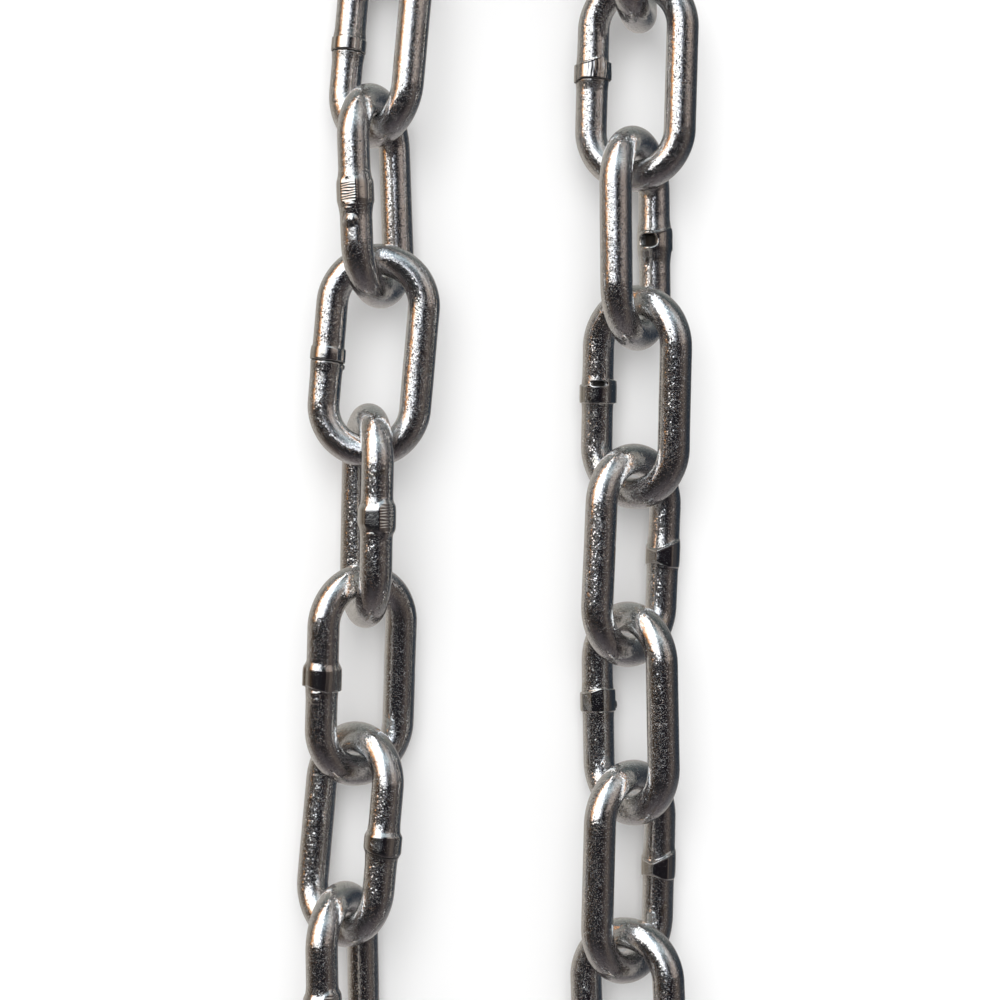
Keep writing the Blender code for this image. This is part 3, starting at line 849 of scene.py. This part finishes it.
def cotter_mesh():
    """A split cotter of half-round wire, in the plane square to its pin."""
    path = cotter_path()
    run = np.gradient(path, axis=0)
    run = run / np.linalg.norm(run, axis=1)[:, None]
    outer = np.column_stack([run[:, 1], -run[:, 0]])
    section = [(-0.94, 0.0)] + [
        (-cos(radians(angle)), sin(radians(angle))) for angle in range(6, 180, 12)
    ] + [(0.94, 0.0)]
    # the wire narrows to a blunt point at its two ends
    near_end = np.minimum(np.arange(len(path)), np.arange(len(path))[::-1])
    size = COTTER_SECTION * (0.72 + 0.28 * np.clip(near_end / 2, 0, 1))
    rings = []
    for place, side, scale in zip(path, outer, size):
        rings.append([
            (across * scale, place[0] + side[0] * out * scale, place[1] + side[1] * out * scale)
            for across, out in section
        ])
    return grid_mesh("cotter", np.array(rings), closed=False)


def add_cotter(side, seed, material):
    mesh = cotter_mesh()
    points = vertex_array(mesh)
    store(mesh, "spot", points / MM + seed * SEED_SPACING)
    store(mesh, "streak", points / MM * (2.0, 2.0, 0.3))
    store(mesh, "weld", np.zeros(len(points)))
    place = hook_place(side) @ Matrix.Translation((cotter_place(), 0, 0))
    node = side + "_cotter"
    piece = add_piece(node + "_wire", mesh, place, side + "_pin", node, material)
    piece.data.set_sharp_from_angle(angle=radians(50))


# ---------------------------------------------------------------- floor, light and camera
def add_floor(height):
    """A wide pale floor under the chain."""
    bpy.ops.mesh.primitive_plane_add(size=FLOOR_SIZE, location=(0, 0, height))
    floor = bpy.context.object
    floor.name = "floor"
    material = bpy.data.materials.new("floor_white")
    material.use_nodes = True
    shader = material.node_tree.nodes["Principled BSDF"]
    shader.inputs["Base Color"].default_value = (0.92, 0.92, 0.92, 1)
    shader.inputs["Roughness"].default_value = 0.9
    shader.inputs["Specular IOR Level"].default_value = 0.1
    floor.data.materials.append(material)
    # the studio below the horizon is what the metal mirrors, so that the floor stays even
    floor.visible_glossy = False


def round_ramp(tree, value, stops):
    """Colours over an angle, as (degrees, colour) stops from -180 to 180."""
    share = maths(tree, "MULTIPLY_ADD", value, 1 / tau, 0.5)
    return ramp(tree, share, [((angle + 180) / 360, colour) for angle, colour in stops])


def studio_colour(tree):
    """The room that the metal mirrors: a soft window to the left, a dim reflector to the right,
    a dark ceiling over the camera and a cooler window beyond the bight."""
    direction = add_node(tree, "ShaderNodeTexCoord").outputs["Generated"]
    x, y, z = add_node(tree, "ShaderNodeSeparateXYZ", {"Vector": direction}).outputs
    sideways = maths(tree, "ARCTAN2", x, z)
    lengthways = maths(tree, "ARCTAN2", y, z)
    pale = (0.50, 0.47, 0.44)
    black = (0, 0, 0)
    room = round_ramp(tree, sideways, (
        (-180, pale), (-128, (0.46, 0.43, 0.39)), (-108, (0.30, 0.27, 0.23)),
        (-92, (0.15, 0.12, 0.095)), (-76, (0.050, 0.036, 0.026)), (-60, (0.010, 0.009, 0.010)),
        (-10, (0.008, 0.008, 0.011)), (20, (0.014, 0.012, 0.015)), (44, (0.055, 0.045, 0.043)),
        (60, (0.120, 0.098, 0.086)), (78, (0.070, 0.062, 0.060)), (100, (0.028, 0.036, 0.048)),
        (135, (0.024, 0.034, 0.050)), (180, pale),
    ))
    beyond = round_ramp(tree, lengthways, (
        (-180, pale), (-128, (0.36, 0.34, 0.33)), (-104, (0.18, 0.16, 0.165)),
        (-84, (0.12, 0.105, 0.11)), (-56, (0.065, 0.057, 0.062)), (-34, (0.022, 0.020, 0.022)),
        (0, (0.010, 0.010, 0.013)), (18, (0.022, 0.027, 0.032)), (34, (0.22, 0.27, 0.30)),
        (45, (0.66, 0.78, 0.84)), (56, (0.30, 0.38, 0.42)), (74, (0.035, 0.048, 0.056)),
        (98, (0.09, 0.11, 0.11)), (128, (0.30, 0.31, 0.29)), (180, pale),
    ))
    window_light = round_ramp(tree, sideways, (
        (-180, black), (-84, black), (-76, (0.34, 0.13, 0.03)), (-68, (0.70, 0.36, 0.14)),
        (-58, (1.0, 0.93, 0.87)), (-40, (1.0, 1.0, 1.0)), (-16, (0.90, 0.93, 0.97)),
        (-3, (0.17, 0.18, 0.21)), (6, black), (180, black),
    ))
    reflector = round_ramp(tree, sideways, (
        (-180, black), (22, black), (38, (0.34, 0.28, 0.25)), (54, (0.40, 0.34, 0.29)),
        (70, (0.14, 0.12, 0.12)), (86, black), (180, black),
    ))
    x_squared = maths(tree, "MULTIPLY", x, x)
    y_squared = maths(tree, "MULTIPLY", y, y)
    level = maths(tree, "ADD", maths(tree, "ADD", x_squared, y_squared), 0.02)
    colour = mix(tree, maths(tree, "DIVIDE", y_squared, level), room, beyond)
    # the window and the reflector stand beyond the bight: near it the chain mirrors all of them
    towards_bight = step_up(tree, y, 0.05, 0.14)
    for lamp, full, least in (
        (window_light, WINDOW_STRENGTH, 0.01), (reflector, REFLECTOR_STRENGTH, 0.05),
    ):
        strength = maths(tree, "MULTIPLY_ADD", towards_bight, full, least)
        colour = mix(tree, 1.0, colour, mix(tree, 1.0, lamp, strength, "MULTIPLY"), "ADD")
    return colour


def paint_studio():
    """The metal mirrors the painted studio. An even white dome lights the floor instead, and it is
    what the camera sees beyond the floor."""
    world = bpy.data.worlds.new("studio")
    bpy.context.scene.world = world
    world.use_nodes = True
    tree = world.node_tree
    studio = tree.nodes["Background"]
    tree.links.new(studio_colour(tree), studio.inputs["Color"])
    dome = add_node(tree, "ShaderNodeBackground", {"Color": (1, 1, 1, 1), "Strength": DOME})
    mirrored = add_node(tree, "ShaderNodeLightPath").outputs["Is Glossy Ray"]
    shown = add_node(tree, "ShaderNodeMixShader", {0: mirrored})
    tree.links.new(dome.outputs[0], shown.inputs[1])
    tree.links.new(studio.outputs[0], shown.inputs[2])
    tree.links.new(shown.outputs[0], tree.nodes["World Output"].inputs["Surface"])
    # a ray that samples the sky as a light isn't a mirrored one: the metal would see the dome
    world.cycles.sampling_method = "NONE"


def add_overhead_light():
    """A broad light over the chain. It lights the floor only, and the metal doesn't mirror it."""
    data = bpy.data.lights.new("overhead", "AREA")
    data.shape = "DISK"
    data.size = OVERHEAD_SIZE
    data.energy = OVERHEAD_POWER
    light = bpy.data.objects.new("overhead", data)
    bpy.context.scene.collection.objects.link(light)
    light.location = OVERHEAD_PLACE
    light.rotation_mode = "QUATERNION"
    light.rotation_quaternion = (-OVERHEAD_PLACE).to_track_quat("-Z", "Y")
    light.visible_glossy = False


def box_middle(node):
    low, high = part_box(node)
    return (low + high) / 2


def add_camera(floor_height):
    """Straight above the two strands, seeing seven links of each."""
    data = bpy.data.cameras.new("camera")
    data.lens = LENS
    data.sensor_width = 36.0
    data.clip_start = 0.01
    camera = bpy.data.objects.new("camera", data)
    bpy.context.scene.collection.objects.link(camera)
    middle = (box_middle("left_link_4") + box_middle("right_link_4")) / 2 + CAMERA_SHIFT
    camera.location = (middle.x, middle.y, floor_height + CAMERA_HEIGHT)
    bpy.context.scene.camera = camera


# ---------------------------------------------------------------- the whole scene
def main():
    link_zinc = zinc_plate(
        "link_zinc", (0.84, 0.84, 0.85), roughness=0.06, grain=3.4, facet_tilt=1.8, dullness=0.015
    )
    forged_zinc = zinc_plate(
        "forged_zinc", (0.70, 0.70, 0.71), roughness=0.24, grain=1.8, facet_tilt=1.2, dullness=0.05
    )
    pin_zinc = zinc_plate(
        "pin_zinc", (0.80, 0.80, 0.80), roughness=0.16, grain=2.4, facet_tilt=1.0, dullness=0.03
    )
    cotter_zinc = zinc_plate(
        "cotter_zinc", (0.78, 0.78, 0.76), roughness=0.20, grain=2.4, facet_tilt=1.2, dullness=0.03
    )
    for seed, node in enumerate(WELDS, start=1):
        add_link(node, seed, link_zinc)
    for seed, side in enumerate(("left", "right"), start=31):
        add_hook(side, seed, forged_zinc)
        add_pin(side, seed + 10, pin_zinc)
        add_cotter(side, seed + 20, cotter_zinc)
    visual_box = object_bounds()
    floor_height = min(0.0, visual_box[0].z)
    add_floor(floor_height)
    paint_studio()
    add_overhead_light()
    add_camera(floor_height)
    bpy.context.scene.view_settings.view_transform = "Standard"


main()
